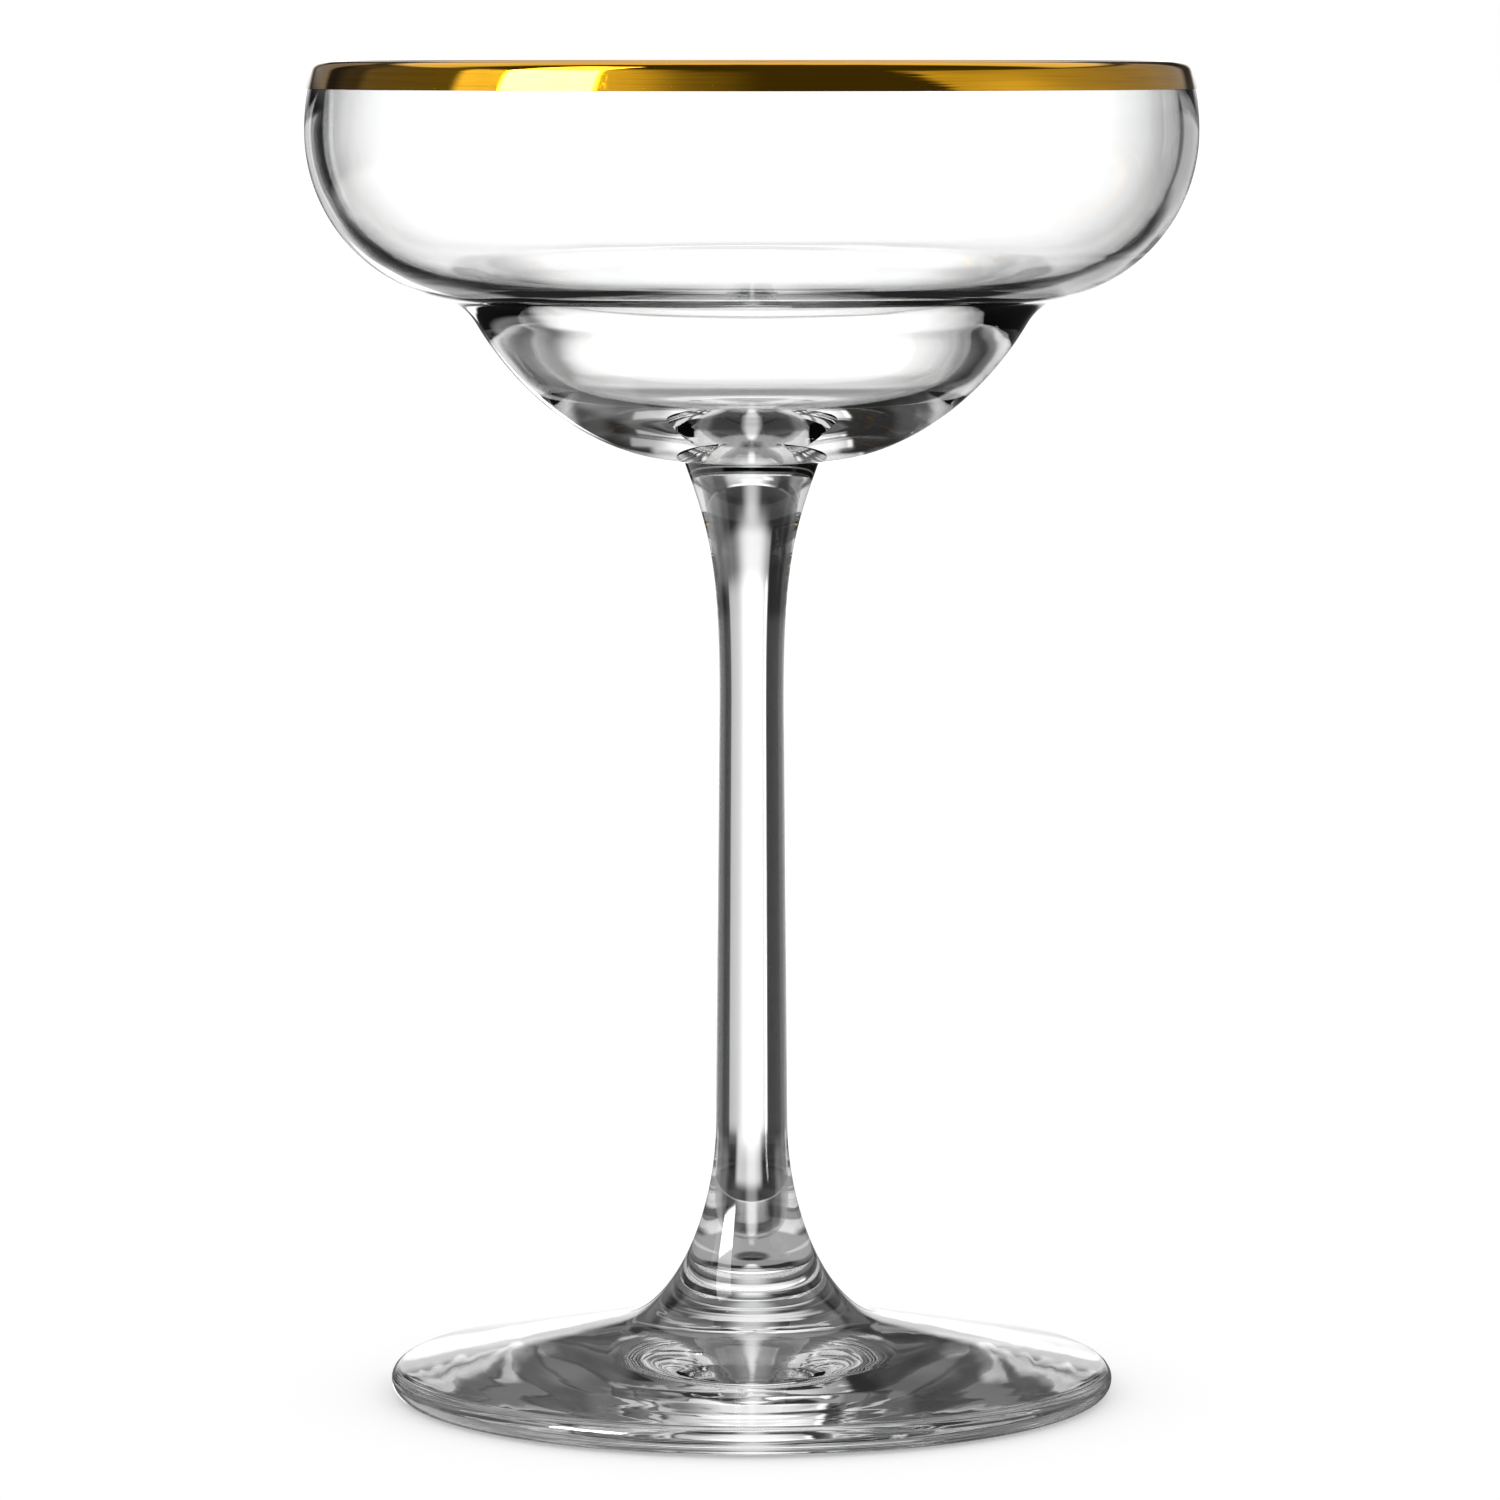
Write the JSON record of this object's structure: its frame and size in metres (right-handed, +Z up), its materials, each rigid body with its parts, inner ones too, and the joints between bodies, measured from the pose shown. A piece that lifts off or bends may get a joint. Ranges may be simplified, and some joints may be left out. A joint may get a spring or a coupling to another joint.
{
  "type": "stemmed cocktail glass",
  "caption": "Stemmed cocktail glass: a wide cup folds into a rounded well over a slim waisted stem and a round foot, with a gold line round the lip. Holds a drink and stands on its foot.",
  "frame": {"origin": "centre of the standing ring under the foot, on the table", "axes": "+Z runs up the stem to the lip and is the turning axis of every piece; X and Y are across the glass and alike"},
  "size_m": [0.1052, 0.1052, 0.1582],
  "materials": {
    "clear_glass": "clear, colourless, fire-polished, smooth and glossy",
    "fired_gold": "bright fired gold, brushed on in one pass, glossy"
  },
  "bodies": {
    "root": {"bowl": "clear_glass", "stem": "clear_glass", "foot": "clear_glass", "gold_rim": "fired_gold"}
  },
  "joints": []
}
